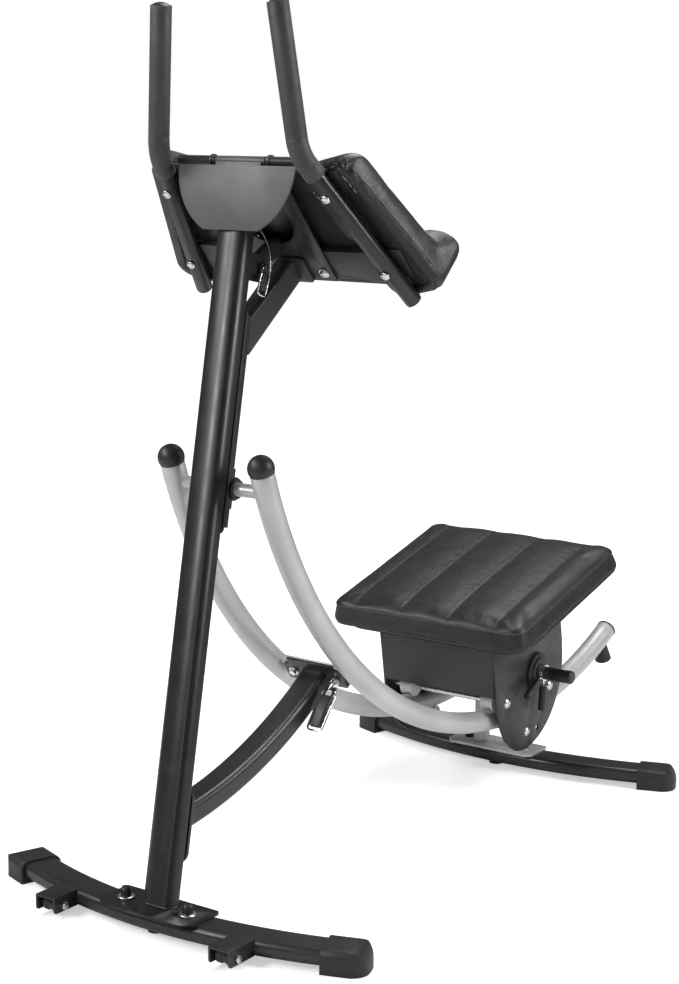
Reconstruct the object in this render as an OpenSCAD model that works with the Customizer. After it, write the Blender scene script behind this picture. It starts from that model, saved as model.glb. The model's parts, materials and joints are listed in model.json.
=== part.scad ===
// Home ab crunch machine: two bowed feet, a leaning upright, a folding arm head with
// two elbow pads, and a seat carriage that rolls along two curved rails.
// Millimetres. Origin on the floor under the middle of the front foot,
// +X to the machine's right hand handle, +Y towards the seat, +Z up.

/* [Frame] */
// height of the arm hinge above the floor
hinge_z = 1198; // [1150:1:1240]
// distance of the arm hinge behind the front foot
hinge_y = 217; // [205:1:230]
// rearward lean of the upright, degrees
lean = 10.4; // [8:0.1:12]
// width of the flat oval upright
upright_w = 60; // [50:1:70]
// depth of the flat oval upright
upright_d = 30; // [25:1:36]
// distance between the two feet
foot_pitch = 1060; // [1000:1:1100]
// plan radius of the bowed feet
foot_bow = 900; // [700:10:1400]
// fore and aft size of a foot tube
foot_w = 62; // [50:1:70]
// height of a foot tube
foot_h = 28; // [24:1:34]
// corner radius of a foot tube
foot_r = 12; // [9:0.5:12]

/* [Rails] */
// radius of the rail curve, on the tube centre
rail_r = 868; // [800:1:920]
// height of the centre of the rail curve
rail_cz = 1013; // [960:1:1060]
// distance of the rail curve centre behind the front foot
rail_cy = 970; // [940:1:1000]
// half the spacing of the two rails
rail_x = 90; // [80:1:100]
// rail tube radius
tube_r = 20; // [16:0.5:22]

/* [Seat] */
// half width of the seat cushion
seat_hw = 202; // [180:1:220]
// half length of the seat cushion
seat_hl = 192; // [170:1:210]
// thickness of the seat cushion
seat_t = 50; // [35:1:60]
// rearward rise of the seat, degrees
seat_tilt = 15; // [8:0.5:20]

/* [Arms] */
// slope of the elbow pads, degrees from level
arm_slope = 47.7; // [40:0.1:55]
// outward splay of each elbow pad, degrees
pad_splay = 17; // [10:0.5:22]
// length of an elbow pad
pad_len = 280; // [250:1:300]
// width of an elbow pad
pad_w = 112; // [90:1:130]
// handle tube radius
grip_r = 14; // [12:0.5:16]
// foam sleeve radius
foam_r = 17; // [15:0.5:20]

/* [Hidden] */
$fn = 64;
up_y = 11;
up_z = 43;
base_top = 41;
foot_z = 22;
half_d = upright_d / 2;
wall = 2;
cap_a0 = 19.4;
seat_y = 956;
seat_z = 411;
piv_t = -68;
piv_y = rail_cy + rail_r * sin(piv_t);
piv_z = rail_cz - rail_r * cos(piv_t);
lock_t = -38;
lock_y = rail_cy + rail_r * sin(lock_t);
lock_z = rail_cz - rail_r * cos(lock_t);
lock_a = atan2(lock_y - piv_y, piv_z - lock_z);
uf_t = -6.4;
ur_t = 5;
up_axle_r = 831;
lo_t = -0.9;
lo_axle_r = 900;
post_y = 986;
post_z = 226;
side_x = 122;
side_t = 4;
ax_r = 6;
run = 0.05;
deck_z = -74;
ptop = [112, 157, 1434];
pbend = [137, 179, 1210];
pend = [212, 388, 982];
bend_r = 70;
foam_low = 22;
pad_x = 138;
pad_a = 13;
board_c = -2;
board_t = 11;
pad_t = 45;
lip_h = 86;

// ---- helpers -----------------------------------------------------------

// rounded rectangle centred on the origin
module rrect(w, h, r) {
  union() {
    square([w - 2 * r, h], center = true);
    square([w, h - 2 * r], center = true);
    for (sx = [-1, 1]) for (sy = [-1, 1]) translate([sx * (w / 2 - r), sy * (h / 2 - r)]) circle(r = r);
  }
}

// outline drawn as y, z and stretched along x
module yz(x0, x1) {
  translate([x0, 0, 0]) rotate([90, 0, 90]) linear_extrude(height = x1 - x0) children();
}

// sweep about an axis parallel to x: profile x is radius, profile y is machine x
module arc_x(cy, cz, t0, t1) {
  translate([0, cy, cz]) rotate([0, 90, 0]) rotate([0, 0, t0])
    rotate_extrude(angle = t1 - t0, $fn = 180) children();
}

// place children at angle t and radius r of the rail curve, z outwards from the curve centre
module on_rail(t, r) {
  translate([0, rail_cy + r * sin(t), rail_cz - r * cos(t)]) rotate([t, 0, 0]) children();
}

module up_frame() {
  translate([0, up_y, up_z]) rotate([-lean, 0, 0]) children();
}

// arm head frame: origin on the hinge, y down the slope, z out of the slope
module arm_frame() {
  translate([0, hinge_y, hinge_z]) rotate([-arm_slope, 0, 0]) children();
}

// outline drawn as slope position, height off the slope, stretched along x
module arm_yz(x0, x1) {
  arm_frame() yz(x0, x1) children();
}

module seat_frame() {
  translate([0, seat_y, seat_z]) rotate([seat_tilt, 0, 0]) children();
}

// frame of the rail lock: z along the swing of the rails
module lock_frame() {
  translate([0, lock_y, lock_z]) rotate([lock_a - 90, 0, 0]) children();
}

module xcyl(r, x0, x1) {
  translate([x0, 0, 0]) rotate([0, 90, 0]) cylinder(r = r, h = x1 - x0);
}

module both() {
  children();
  mirror([1, 0, 0]) children();
}

// socket button bolt head, flat side on z = 0
module button_head(r, h) {
  difference() {
    intersection() {
      cylinder(r = r, h = h);
      translate([0, 0, h - r * 1.25]) sphere(r = r * 1.25);
    }
    translate([0, 0, h - 2]) cylinder(r = r * 0.38, h = 5, $fn = 6);
  }
}

// ---- feet --------------------------------------------------------------

module foot_sweep(w, h, r, half_a) {
  translate([0, foot_bow, foot_z]) rotate([0, 0, -90 - half_a])
    rotate_extrude(angle = 2 * half_a, $fn = 180) translate([foot_bow, 0]) rrect(w, h, r);
}

module foot_tube() {
  difference() {
    foot_sweep(foot_w, foot_h, foot_r, cap_a0 + 1.6);
    foot_sweep(foot_w - 4, foot_h - 4, foot_r - 2, cap_a0 + 3);
  }
}

module boot() {
  end_x = foot_bow * sin(cap_a0);
  end_y = foot_bow - foot_bow * cos(cap_a0);
  difference() {
    translate([end_x, end_y, 0]) rotate([0, 0, cap_a0]) intersection() {
      translate([29, 0, -5]) linear_extrude(height = 60) union() {
        rrect(72, 75, 30);
        translate([-18, 0]) square([36, 75], center = true);
      }
      translate([-20, 0, 19.5]) rotate([90, 0, 90]) linear_extrude(height = 100) union() {
        rrect(74, 39, 15);
        translate([0, -10]) square([74, 19], center = true);
      }
      rotate([90, 0, 0]) translate([0, 0, -50]) linear_extrude(height = 100) union() {
        translate([-20, -5]) square([53.4, 60]);
        translate([-20, -5]) square([110, 15]);
        translate([33.4, 7.4]) circle(r = 32);
      }
    }
    foot_sweep(foot_w + 0.2, foot_h + 0.2, foot_r + 0.1, cap_a0 + 1.7);
  }
}

module bumper_shape() {
  difference() {
    union() {
      cylinder(r = 14, h = 8);
      translate([0, 0, 4]) cylinder(r = 11, h = 8);
    }
    foot_sweep(foot_w, foot_h, foot_r, 4);
  }
}

module foot_bolt(x, y, hole_top) {
  translate([x, y, hole_top]) union() {
    cylinder(r = 10, h = 1.6);
    translate([0, 0, -36]) cylinder(r = 4, h = 38);
    translate([0, 0, 1.6]) cylinder(r = 6.5, h = 5, $fn = 6);
  }
}

module bolt_cap(x, y, hole_top) {
  translate([x, y, hole_top + 1.6]) difference() {
    union() {
      cylinder(r = 8.5, h = 13);
      translate([0, 0, 13]) cylinder(r1 = 8.5, r2 = 6.5, h = 3);
    }
    translate([0, 0, -1]) cylinder(r = 6.7, h = 7);
  }
}

module foot_bolt_holes(y) {
  for (s = [-1, 1]) translate([s * 63, y, -5]) cylinder(r = 4.2, h = 60);
}

module front_foot() {
  color([0.1, 0.1, 0.1]) difference() {
    foot_tube();
    foot_bolt_holes(0);
  }
}

module front_boots() {
  color([0.05, 0.05, 0.05]) union() {
    both() boot();
    bumper_shape();
  }
}

module rear_foot() {
  color([0.1, 0.1, 0.1]) difference() {
    translate([0, foot_pitch, 0]) foot_tube();
    translate([0, foot_pitch, 0]) foot_bolt_holes(0);
  }
}

module rear_boots() {
  color([0.05, 0.05, 0.05]) translate([0, foot_pitch, 0]) union() {
    both() boot();
    bumper_shape();
  }
}

// inverted channel on the front of the foot, open at the front and below
module wheel_bracket() {
  difference() {
    union() {
      for (px = [156, 194]) yz(px, px + 3) union() {
        translate([-66, 14]) square([61, 21.5]);
        translate([-61, 9]) square([56, 6]);
        translate([-61, 14]) circle(r = 5);
      }
      translate([156, -66, 32.5]) cube([41, 61, 3]);
    }
    foot_sweep(foot_w, foot_h, foot_r, 18);
    translate([0, -46, 19]) xcyl(4, 150, 205);
  }
}

module wheel_brackets() {
  color([0.1, 0.1, 0.1]) both() wheel_bracket();
}

module wheel_axles() {
  color([0.6, 0.6, 0.62]) both() translate([0, -46, 19]) union() {
    xcyl(4, 152.5, 200.5);
    xcyl(6.5, 150, 156);
    xcyl(6.5, 197, 200.5);
  }
}

module wheel_shape() {
  difference() {
    translate([176.5, -46, 19]) rotate([0, 90, 0]) rotate_extrude($fn = 96) difference() {
      translate([4 + run, -13]) square([9 - run, 26]);
      translate([20, 0]) circle(r = 9);
    }
    for (sx = [160, 187]) translate([0, -46, 19]) difference() {
      xcyl(10, sx, sx + 6);
      xcyl(7, sx - 1, sx + 7);
    }
  }
}

module wheel_right() {
  color([0.06, 0.06, 0.06]) wheel_shape();
}

module wheel_left() {
  color([0.06, 0.06, 0.06]) mirror([1, 0, 0]) wheel_shape();
}

// ---- upright -----------------------------------------------------------

module upright() {
  color([0.12, 0.12, 0.12]) difference() {
    union() {
      difference() {
        up_frame() translate([0, 0, -20]) linear_extrude(height = 1160) rrect(upright_w, upright_d, 12);
        up_frame() translate([0, 0, -30])
          linear_extrude(height = 1180) rrect(upright_w - 4, upright_d - 4, 10);
        translate([-100, -100, -20]) cube([200, 200, 58]);
      }
      difference() {
        translate([0, 0, 36]) linear_extrude(height = 5) difference() {
          rrect(190, 82, 6);
          for (s = [-1, 1]) translate([s * 100, -46]) rotate([0, 0, 45]) square([34, 34], center = true);
        }
        up_frame() translate([0, 0, -30]) linear_extrude(height = 60) rrect(upright_w - 4, upright_d - 4, 10);
      }
    }
    foot_bolt_holes(0);
  }
}

module upright_plug() {
  color([0.04, 0.04, 0.04]) up_frame() translate([0, 0, 1140]) union() {
    linear_extrude(height = 3) rrect(upright_w, upright_d, 12);
    translate([0, 0, -14]) linear_extrude(height = 15) rrect(upright_w - 4.4, upright_d - 4.4, 9.8);
  }
}

module base_bolts() {
  color([0.8, 0.8, 0.82]) both() foot_bolt(63, 0, base_top);
}

module base_bolt_caps() {
  color([0.05, 0.05, 0.05]) both() bolt_cap(63, 0, base_top);
}

module pivot_channel() {
  color([0.11, 0.11, 0.11]) difference() {
    up_frame() union() {
      translate([0, half_d, 768]) rotate([-90, 0, 0]) linear_extrude(height = 4) rrect(54, 356, 8);
      for (px = [-27, 23]) yz(px, px + 4) union() {
        translate([half_d + 1, 600]) square([12, 336]);
        translate([half_d + 1, 630]) square([16, 64]);
        translate([35.2, 662]) circle(r = 19);
      }
    }
    translate([0, piv_y, piv_z]) xcyl(13, -50, 50);
  }
}

module pivot_bushes() {
  color([0.04, 0.04, 0.04]) both() translate([0, piv_y, piv_z]) difference() {
    union() {
      xcyl(12.9, 21, 30);
      xcyl(16, 27, 33);
    }
    xcyl(11 + run, 15, 40);
  }
}

module pin_bracket() {
  color([0.11, 0.11, 0.11]) difference() {
    up_frame() union() {
      translate([-22, half_d, 985]) cube([44, 3, 58]);
      for (px = [-22, 18]) yz(px, px + 4) union() {
        translate([half_d + 1, 990]) square([30, 44]);
        translate([46, 1012]) circle(r = 14);
      }
    }
    translate([0, 239, 1030]) xcyl(5 + run, -40, 40);
  }
}

module upper_brace() {
  color([0.11, 0.11, 0.11]) difference() {
    union() {
      translate([0, 343, 1023]) rotate([-51.5, 0, 0]) translate([0, 0, -176])
        linear_extrude(height = 200) rrect(32, 50, 8);
      arm_frame() translate([0, 214, -26]) linear_extrude(height = 5) rrect(80, 54, 6);
    }
    translate([0, 343, 1023]) rotate([-51.5, 0, 0]) translate([0, 0, -196])
      linear_extrude(height = 174) rrect(28, 46, 6);
    arm_frame() translate([-60, 120, -21]) cube([120, 160, 80]);
    up_frame() translate([-60, -60, 700]) cube([120, 60 + half_d + 4, 400]);
  }
}

module lower_brace() {
  color([0.12, 0.12, 0.12]) difference() {
    union() {
      up_frame() translate([0, half_d, 125]) rotate([-90, 0, 0])
        linear_extrude(height = 6) rrect(56, 124, 20);
      arc_x(-39.4, 992, 5.5, 34.95) translate([822, 0]) rrect(38, 50, 10);
      lock_frame() translate([0, -4, -11]) linear_extrude(height = 5) difference() {
        rrect(124, 52, 5);
        for (s = [-1, 1]) translate([s * 66, -30]) rotate([0, 0, s * 28]) square([26, 40], center = true);
      }
    }
    arc_x(-39.4, 992, 8.6, 34) translate([822, 0]) rrect(34, 46, 8);
    translate([0, 220, 150]) cylinder(r = 4, h = 60);
    up_frame() translate([-60, -80, 0]) cube([120, 80 + half_d, 300]);
    lock_frame() for (s = [-1, 1]) translate([s * 45, 0, -20]) cylinder(r = 4 + run, h = 30);
  }
}

module lock_stud() {
  color([0.8, 0.8, 0.82]) lock_frame() translate([-45, 0, 0]) union() {
    translate([0, 0, -13]) cylinder(r = 4, h = 19);
    translate([0, 0, -11]) mirror([0, 0, 1]) cylinder(r = 9, h = 1.5);
    translate([0, 0, -12.5]) mirror([0, 0, 1]) cylinder(r = 6.5, h = 5, $fn = 6);
  }
}

module head_bracket() {
  color([0.17, 0.17, 0.17]) difference() {
    union() {
      up_frame() translate([0, -half_d, 1164]) rotate([90, 0, 0]) linear_extrude(height = 4) intersection() {
        translate([-114, -101]) square([228, 101]);
        circle(r = 114);
      }
      up_frame() translate([-48, -half_d - 3, 1156]) cube([96, 21, 5]);
      up_frame() translate([-44, -half_d, 1158]) cube([88, 14, 12]);
      arm_frame() xcyl(7.5, -48, 48);
    }
    arm_frame() xcyl(4 + run, -60, 60);
  }
}

// ---- rails -------------------------------------------------------------

module rail_tube(s) {
  difference() {
    arc_x(rail_cy, rail_cz, -70.3, 25.6) translate([rail_r, s * rail_x]) circle(r = tube_r);
    arc_x(rail_cy, rail_cz, -71, 26.5) translate([rail_r, s * rail_x]) circle(r = tube_r - wall);
  }
}

module rail_shadow(gap) {
  for (s = [-1, 1]) arc_x(rail_cy, rail_cz, -70.3, 25.6)
    translate([rail_r, s * rail_x]) circle(r = tube_r + gap);
}

module rail_left() {
  color([0.66, 0.67, 0.68]) rail_tube(-1);
}

module rail_right() {
  color([0.66, 0.67, 0.68]) rail_tube(1);
}

module rail_caps() {
  color([0.05, 0.05, 0.05]) both() union() {
    on_rail(-70.302, rail_r) translate([rail_x, 0, 0]) rotate([90, 0, 0]) union() {
      difference() {
        translate([0, 0, 9]) sphere(r = 22);
        translate([-30, -30, -60]) cube([60, 60, 60]);
      }
      translate([0, 0, -18]) cylinder(r = tube_r - wall - 0.5, h = 20);
    }
    on_rail(25.602, rail_r) translate([rail_x, 0, 0]) rotate([-90, 0, 0]) union() {
      cylinder(r = 20.5, h = 4);
      translate([0, 0, 4]) cylinder(r1 = 20.5, r2 = 17, h = 3);
      translate([0, 0, -18]) cylinder(r = tube_r - wall - 0.5, h = 20);
    }
  }
}

module pivot_tube() {
  color([0.66, 0.67, 0.68]) difference() {
    translate([0, piv_y, piv_z]) xcyl(11, -85, 85);
    translate([0, piv_y, piv_z]) xcyl(8.5, -90, 90);
    rail_shadow(0.02);
  }
}

module lock_bar() {
  color([0.66, 0.67, 0.68]) difference() {
    lock_frame() translate([-80, -18, -6]) cube([160, 36, 12]);
    rail_shadow(0.02);
    lock_frame() for (s = [-1, 1]) translate([s * 45, 0, -20]) cylinder(r = 4.8, h = 40);
  }
}

module rear_support() {
  color([0.66, 0.67, 0.68]) difference() {
    union() {
      translate([0, foot_pitch, 36]) linear_extrude(height = 5) difference() {
        rrect(190, 76, 6);
        for (s = [-1, 1]) translate([s * 102, -44]) rotate([0, 0, 45]) square([34, 34], center = true);
      }
      for (s = [-1, 1]) translate([s * 34, foot_pitch, 40]) linear_extrude(height = 112) rrect(25, 25, 5);
      translate([0, foot_pitch, 150]) rotate([0, 90, 0]) translate([0, 0, -80])
        linear_extrude(height = 160) rrect(25, 25, 5);
    }
    rail_shadow(0.02);
    translate([0, foot_pitch, 0]) foot_bolt_holes(0);
  }
}

module rear_bolts() {
  color([0.8, 0.8, 0.82]) translate([0, foot_pitch, 0]) both() foot_bolt(63, 0, base_top);
}

module rear_bolt_caps() {
  color([0.05, 0.05, 0.05]) translate([0, foot_pitch, 0]) both() bolt_cap(63, 0, base_top);
}

module rail_bumpers() {
  color([0.05, 0.05, 0.05]) both() difference() {
    on_rail(23.6, rail_r) translate([rail_x, 0, -52]) cylinder(r1 = 17, r2 = 12, h = 42);
    rail_shadow(0.02);
  }
}

// ---- carriage ----------------------------------------------------------

module side_outline() {
  union() {
    polygon([[819, 299], [829, 244], [840, 180], [856, 140], [874, 112], [896, 94], [918, 83], [941, 79],
      [941, 229], [1091, 229], [1088, 267], [1079, 312], [1078, 367]]);
    intersection() {
      translate([941, 229]) circle(r = 150);
      translate([940, 60]) square([160, 170]);
    }
  }
}

module axle_at(t, r) {
  translate([0, rail_cy + r * sin(t), rail_cz - r * cos(t)]) children();
}

module side_plates() {
  color([0.17, 0.17, 0.17]) both() difference() {
    yz(side_x, side_x + side_t) side_outline();
    axle_at(uf_t, up_axle_r) xcyl(ax_r + 0.1, 100, 140);
    axle_at(ur_t, up_axle_r) xcyl(ax_r + 0.1, 100, 140);
    axle_at(lo_t, lo_axle_r) xcyl(ax_r - 0.9, 100, 140);
    translate([0, post_y, post_z]) xcyl(10.1, 100, 140);
    translate([0, 996, 112]) xcyl(5, 100, 140);
  }
}

module carriage_box() {
  color([0.16, 0.16, 0.16]) difference() {
    union() {
      yz(-side_x, side_x) polygon([[820, 299.6], [834.6, 196], [838.6, 196], [823.6, 300.6]]);
      yz(-side_x, side_x) polygon([[1072, 367.4], [1083.9, 201], [1087.9, 201], [1076, 368.4]]);
      seat_frame() translate([-side_x, -161, deck_z]) cube([2 * side_x, 267, 4]);
      yz(-side_x, side_x) polygon([[835, 205.5], [860, 214], [859, 218], [835, 210]]);
    }
    translate([0, rail_cy, rail_cz]) difference() {
      xcyl(860, -side_x - 5, side_x + 5, $fn = 720);
      xcyl(819.5, -side_x - 10, side_x + 10, $fn = 720);
    }
    seat_frame() translate([0, 0, deck_z - 5]) cylinder(r = 8.1, h = 20);
  }
}

module axle_bolt(r) {
  union() {
    xcyl(r, -side_x - side_t - 2, side_x + side_t + 2);
    both() translate([side_x + side_t, 0, 0]) rotate([0, 90, 0]) button_head(r + 4.5, 5);
  }
}

module front_axle() {
  color([0.75, 0.75, 0.77]) axle_at(uf_t, up_axle_r) axle_bolt(ax_r);
}

module rear_axle() {
  color([0.75, 0.75, 0.77]) axle_at(ur_t, up_axle_r) axle_bolt(ax_r);
}

module lower_axle() {
  color([0.75, 0.75, 0.77]) axle_at(lo_t, lo_axle_r) axle_bolt(ax_r - 1);
}

module roller(gap, half_w, bore, outer) {
  rotate([0, 90, 0]) rotate_extrude($fn = 96) difference() {
    translate([bore + run, -half_w]) square([outer - bore - run, 2 * half_w]);
    translate([gap, 0]) circle(r = tube_r + 0.2);
  }
}

module front_rollers() {
  color([0.8, 0.8, 0.78]) both() axle_at(uf_t, up_axle_r) translate([rail_x, 0, 0])
    roller(rail_r - up_axle_r, 13, ax_r, 20);
}

module rear_rollers() {
  color([0.8, 0.8, 0.78]) both() axle_at(ur_t, up_axle_r) translate([rail_x, 0, 0])
    roller(rail_r - up_axle_r, 13, ax_r, 20);
}

module lower_rollers() {
  color([0.8, 0.8, 0.78]) both() axle_at(lo_t, lo_axle_r) translate([rail_x, 0, 0])
    roller(lo_axle_r - rail_r, 11, ax_r - 1, 14.5);
}

module weight_posts() {
  color([0.06, 0.06, 0.06]) both() translate([0, post_y, post_z]) union() {
    xcyl(10, 112, 137);
    xcyl(16, 112, 122);
    xcyl(12.5, 136, 158);
    xcyl(11.5, 157, 161);
    xcyl(12.5, 160, 203);
    translate([203, 0, 0]) rotate([0, 90, 0]) cylinder(r1 = 12.5, r2 = 10.5, h = 2);
  }
}

module post_flanges() {
  color([0.05, 0.05, 0.05]) both() translate([0, post_y, post_z]) difference() {
    union() {
      xcyl(37, 126, 132);
      xcyl(28, 131, 136);
    }
    xcyl(10.1, 120, 140);
  }
}

// spring clip: a wire ring and two plastic covered legs, one hanging down and one to the front
module collar_shape() {
  translate([0, post_y, post_z]) union() {
    difference() {
      xcyl(16, 138, 147);
      xcyl(12.5 + run, 130, 150);
    }
    for (leg = [[-4, 139], [-62, 139]]) rotate([leg[0], 0, 0]) translate([leg[1] + 4, 0, -72]) union() {
      cylinder(r = 6.5, h = 48);
      translate([0, 0, 46]) cylinder(r = 2.2, h = 12);
    }
  }
}

module collar_right() {
  color([0.8, 0.8, 0.82]) collar_shape();
}

module collar_left() {
  color([0.8, 0.8, 0.82]) mirror([1, 0, 0]) collar_shape();
}

// ---- seat --------------------------------------------------------------

module swivel_washer() {
  color([0.85, 0.85, 0.8]) seat_frame() translate([0, 0, deck_z + 4]) difference() {
    cylinder(r = 70, h = 4);
    translate([0, 0, -1]) cylinder(r = 8.1, h = 6);
  }
}

module swivel_bolt() {
  color([0.75, 0.75, 0.77]) seat_frame() union() {
    translate([0, 0, -92]) cylinder(r = 8, h = 31);
    translate([0, 0, -62]) cylinder(r = 13, h = 8, $fn = 6);
    translate([0, 0, -84]) cylinder(r = 13, h = 10, $fn = 6);
  }
}

module swivel_plate() {
  color([0.16, 0.16, 0.16]) seat_frame() translate([0, 0, -66]) difference() {
    linear_extrude(height = 4) rrect(220, 200, 14);
    translate([0, 0, -1]) cylinder(r = 8 + run, h = 6);
  }
}

module seat_board() {
  color([0.35, 0.28, 0.2]) seat_frame() translate([0, 0, -62]) difference() {
    linear_extrude(height = 12) rrect(380, 360, 34);
    translate([0, 0, -1]) cylinder(r = 17, h = 14);
  }
}

module seat_pad() {
  color([0.06, 0.06, 0.06]) seat_frame() intersection() {
    translate([0, 0, -seat_t]) linear_extrude(height = seat_t) rrect(2 * seat_hw, 2 * seat_hl, 36);
    translate([0, 0, -seat_t / 2]) rotate([90, 0, 90]) translate([0, 0, -260])
      linear_extrude(height = 520) rrect(2 * seat_hl, seat_t, 12);
    translate([0, 0, -seat_t / 2]) rotate([90, 0, 0]) translate([0, 0, -260])
      linear_extrude(height = 520) rrect(2 * seat_hw, seat_t, 12);
  }
}

// ---- arm head ----------------------------------------------------------

module arm_yoke() {
  color([0.15, 0.15, 0.15]) difference() {
    union() {
      arm_frame() translate([0, 0, -21]) linear_extrude(height = 4) difference() {
        translate([-82, 14]) square([164, 226]);
        translate([0, 106]) circle(r = 54);
        translate([-54, 0]) square([108, 106]);
        for (s = [-1, 1]) translate([s * 90, 10]) rotate([0, 0, 45]) square([26, 26], center = true);
      }
      both() arm_yz(54, 58) union() {
        circle(r = 10);
        polygon([[3, -9], [15, -18], [130, -18], [130, -15], [36, 6], [0, 9.5]]);
      }
      both() arm_frame() xcyl(7.5, 50, 124);
      arm_yz(-6, 6) difference() {
        union() {
          polygon([[150, -17], [176, -17], [176, -30], [151, -99], [127, -97], [140, -40]]);
          translate([139, -97]) circle(r = 12);
        }
        translate([139, -97]) circle(r = 5.4);
      }
    }
    arm_frame() xcyl(4.05, 40, 70);
    mirror([1, 0, 0]) arm_frame() xcyl(4.05, 40, 70);
    translate([-10, 200, 1024.6]) cube([20, 39, 10.8]);
    arm_frame() for (s = [-1, 1]) translate([s * 65, 222, -30]) cylinder(r = 4.1, h = 30);
  }
}

module arm_band() {
  color([0.16, 0.16, 0.16]) arm_frame() difference() {
    union() {
      translate([-170, 176, -17]) cube([340, 62, 3]);
      translate([-170, 176, -17]) cube([340, 3, 15]);
      translate([-170, 235, -17]) cube([340, 3, 15]);
      for (s = [0, 1]) mirror([s, 0, 0]) translate([160, 178, -5]) cube([62, 58, 3]);
      for (s = [0, 1]) mirror([s, 0, 0]) translate([60, 14, -5]) cube([116, 44, 3]);
      translate([-165, 237, -5.1]) cube([330, 20, 3.1]);
    }
    for (s = [-1, 1]) translate([s * 65, 222, -30]) cylinder(r = 4.1, h = 40);
    for (s = [-3 : 2 : 3]) translate([s * 38, 248, -6]) linear_extrude(height = 6) rrect(44, 7, 3.4);
    for (s = [-1, 1]) translate([s * 195.5, 207, -10]) cylinder(r = 4.1, h = 20);
    for (s = [-1, 1]) translate([s * 156.3, 45, -10]) cylinder(r = 4.1, h = 20);
    for (s = [0, 1]) mirror([s, 0, 0]) yz(53.9, 60.1)
      polygon([[0, -20], [15, -20], [132, -20], [132, -14.8], [38, 8], [0, 9]]);
  }
}

module hinge_rod() {
  color([0.7, 0.7, 0.72]) arm_frame() xcyl(4, -69, 69);
}

// handle frame: origin at the bend, z up along the lower part, x in the plane of the bend
module handle_frame() {
  low = pbend - pend;
  low_l = norm(low);
  th = acos(low[2] / low_l);
  ph = atan2(low[1], low[0]);
  up = ptop - pbend;
  xa = [cos(th) * cos(ph), cos(th) * sin(ph), -sin(th)];
  ya = [-sin(ph), cos(ph), 0];
  psi = atan2(up * ya, up * xa);
  translate(pbend) rotate([0, th, ph]) rotate([0, 0, psi]) children();
}

function bend_angle() = acos(((pbend - pend) * (ptop - pbend)) / (norm(pbend - pend) * norm(ptop - pbend)));

// three lengths of round tube: lower straight, bend, upper straight
module bent_tube(r_out, r_in, low_l, up_l) {
  b = bend_angle();
  tn = bend_r * tan(b / 2);
  slit = 0.02;
  union() {
    translate([0, 0, -low_l]) difference() {
      cylinder(r = r_out, h = low_l - tn);
      translate([0, 0, -1]) cylinder(r = r_in, h = low_l + 2);
    }
    translate([bend_r, 0, -tn]) rotate([90, 0, 0]) rotate([0, 0, 180 - b + slit])
      rotate_extrude(angle = b - 2 * slit, $fn = 128) translate([bend_r, 0]) difference() {
      circle(r = r_out);
      circle(r = r_in);
    }
    translate([bend_r - bend_r * cos(b), 0, -tn + bend_r * sin(b)]) rotate([0, b, 0]) difference() {
      cylinder(r = r_out, h = up_l - tn);
      translate([0, 0, -1]) cylinder(r = r_in, h = up_l + 2);
    }
  }
}

module handle_shape() {
  difference() {
    handle_frame() bent_tube(grip_r, grip_r - 1.8, norm(pbend - pend), norm(ptop - pbend));
    arm_frame() translate([195.5, 207, -60]) cylinder(r = 4.1, h = 80);
    arm_frame() translate([156.3, 45, -60]) cylinder(r = 4.1, h = 80);
  }
}

module handle_right() {
  color([0.12, 0.12, 0.12]) handle_shape();
}

module handle_left() {
  color([0.12, 0.12, 0.12]) mirror([1, 0, 0]) handle_shape();
}

module foam_sleeves() {
  tn = bend_r * tan(bend_angle() / 2);
  color([0.09, 0.09, 0.09]) both() handle_frame()
    bent_tube(foam_r, grip_r + 0.02, tn + foam_low, norm(ptop - pbend));
}

module handle_plugs() {
  b = bend_angle();
  up_l = norm(ptop - pbend);
  color([0.04, 0.04, 0.04]) both() handle_frame() union() {
    rotate([0, b, 0]) translate([0, 0, up_l]) union() {
      intersection() {
        cylinder(r = 15.5, h = 6);
        translate([0, 0, -20]) sphere(r = 25);
      }
      translate([0, 0, -12]) cylinder(r = grip_r - 2, h = 13);
    }
    translate([0, 0, -norm(pbend - pend)]) union() {
      mirror([0, 0, 1]) cylinder(r = 13.5, h = 2.5);
      cylinder(r = grip_r - 2, h = 12);
      translate([0, 0, -1]) cylinder(r = grip_r - 2, h = 3);
    }
  }
}

module arm_bolts() {
  color([0.8, 0.8, 0.82]) arm_frame() both() union() {
    for (p = [[195.5, 207], [156.3, 45]]) translate([p[0], p[1], -34.2]) union() {
      mirror([0, 0, 1]) button_head(8, 5);
      cylinder(r = 4, h = 40);
    }
    translate([65, 222, -21]) union() {
      mirror([0, 0, 1]) cylinder(r = 9, h = 1.5);
      translate([0, 0, -1.5]) mirror([0, 0, 1]) button_head(7.5, 5);
      translate([0, 0, -2]) cylinder(r = 4, h = 14);
      translate([0, 0, 7]) cylinder(r = 6.5, h = 5, $fn = 6);
    }
  }
}

module pad_frame() {
  arm_frame() translate([pad_x, pad_a, board_c]) rotate([0, 0, -pad_splay]) children();
}

// board under the cushion, with a backing panel that reaches in to the yoke
module board_shape() {
  difference() {
    arm_frame() translate([0, 0, board_c]) linear_extrude(height = board_t) union() {
      translate([pad_x, pad_a]) rotate(-pad_splay) translate([0, pad_len / 2])
        rrect(pad_w - 14, pad_len - 14, 20);
      translate([112, 124]) rrect(100, 216, 12);
    }
    pad_frame() translate([0, pad_len / 2, board_t - 4]) cylinder(r = 10, h = 10);
  }
}

module pad_boards() {
  color([0.07, 0.07, 0.07]) both() difference() {
    board_shape();
    arm_frame() for (p = [[195.5, 207], [156.3, 45]]) translate([p[0], p[1], -10]) cylinder(r = 4.1, h = 40);
    arm_frame() translate([65, 222, -20]) cylinder(r = 8, h = 30);
  }
}

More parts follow.
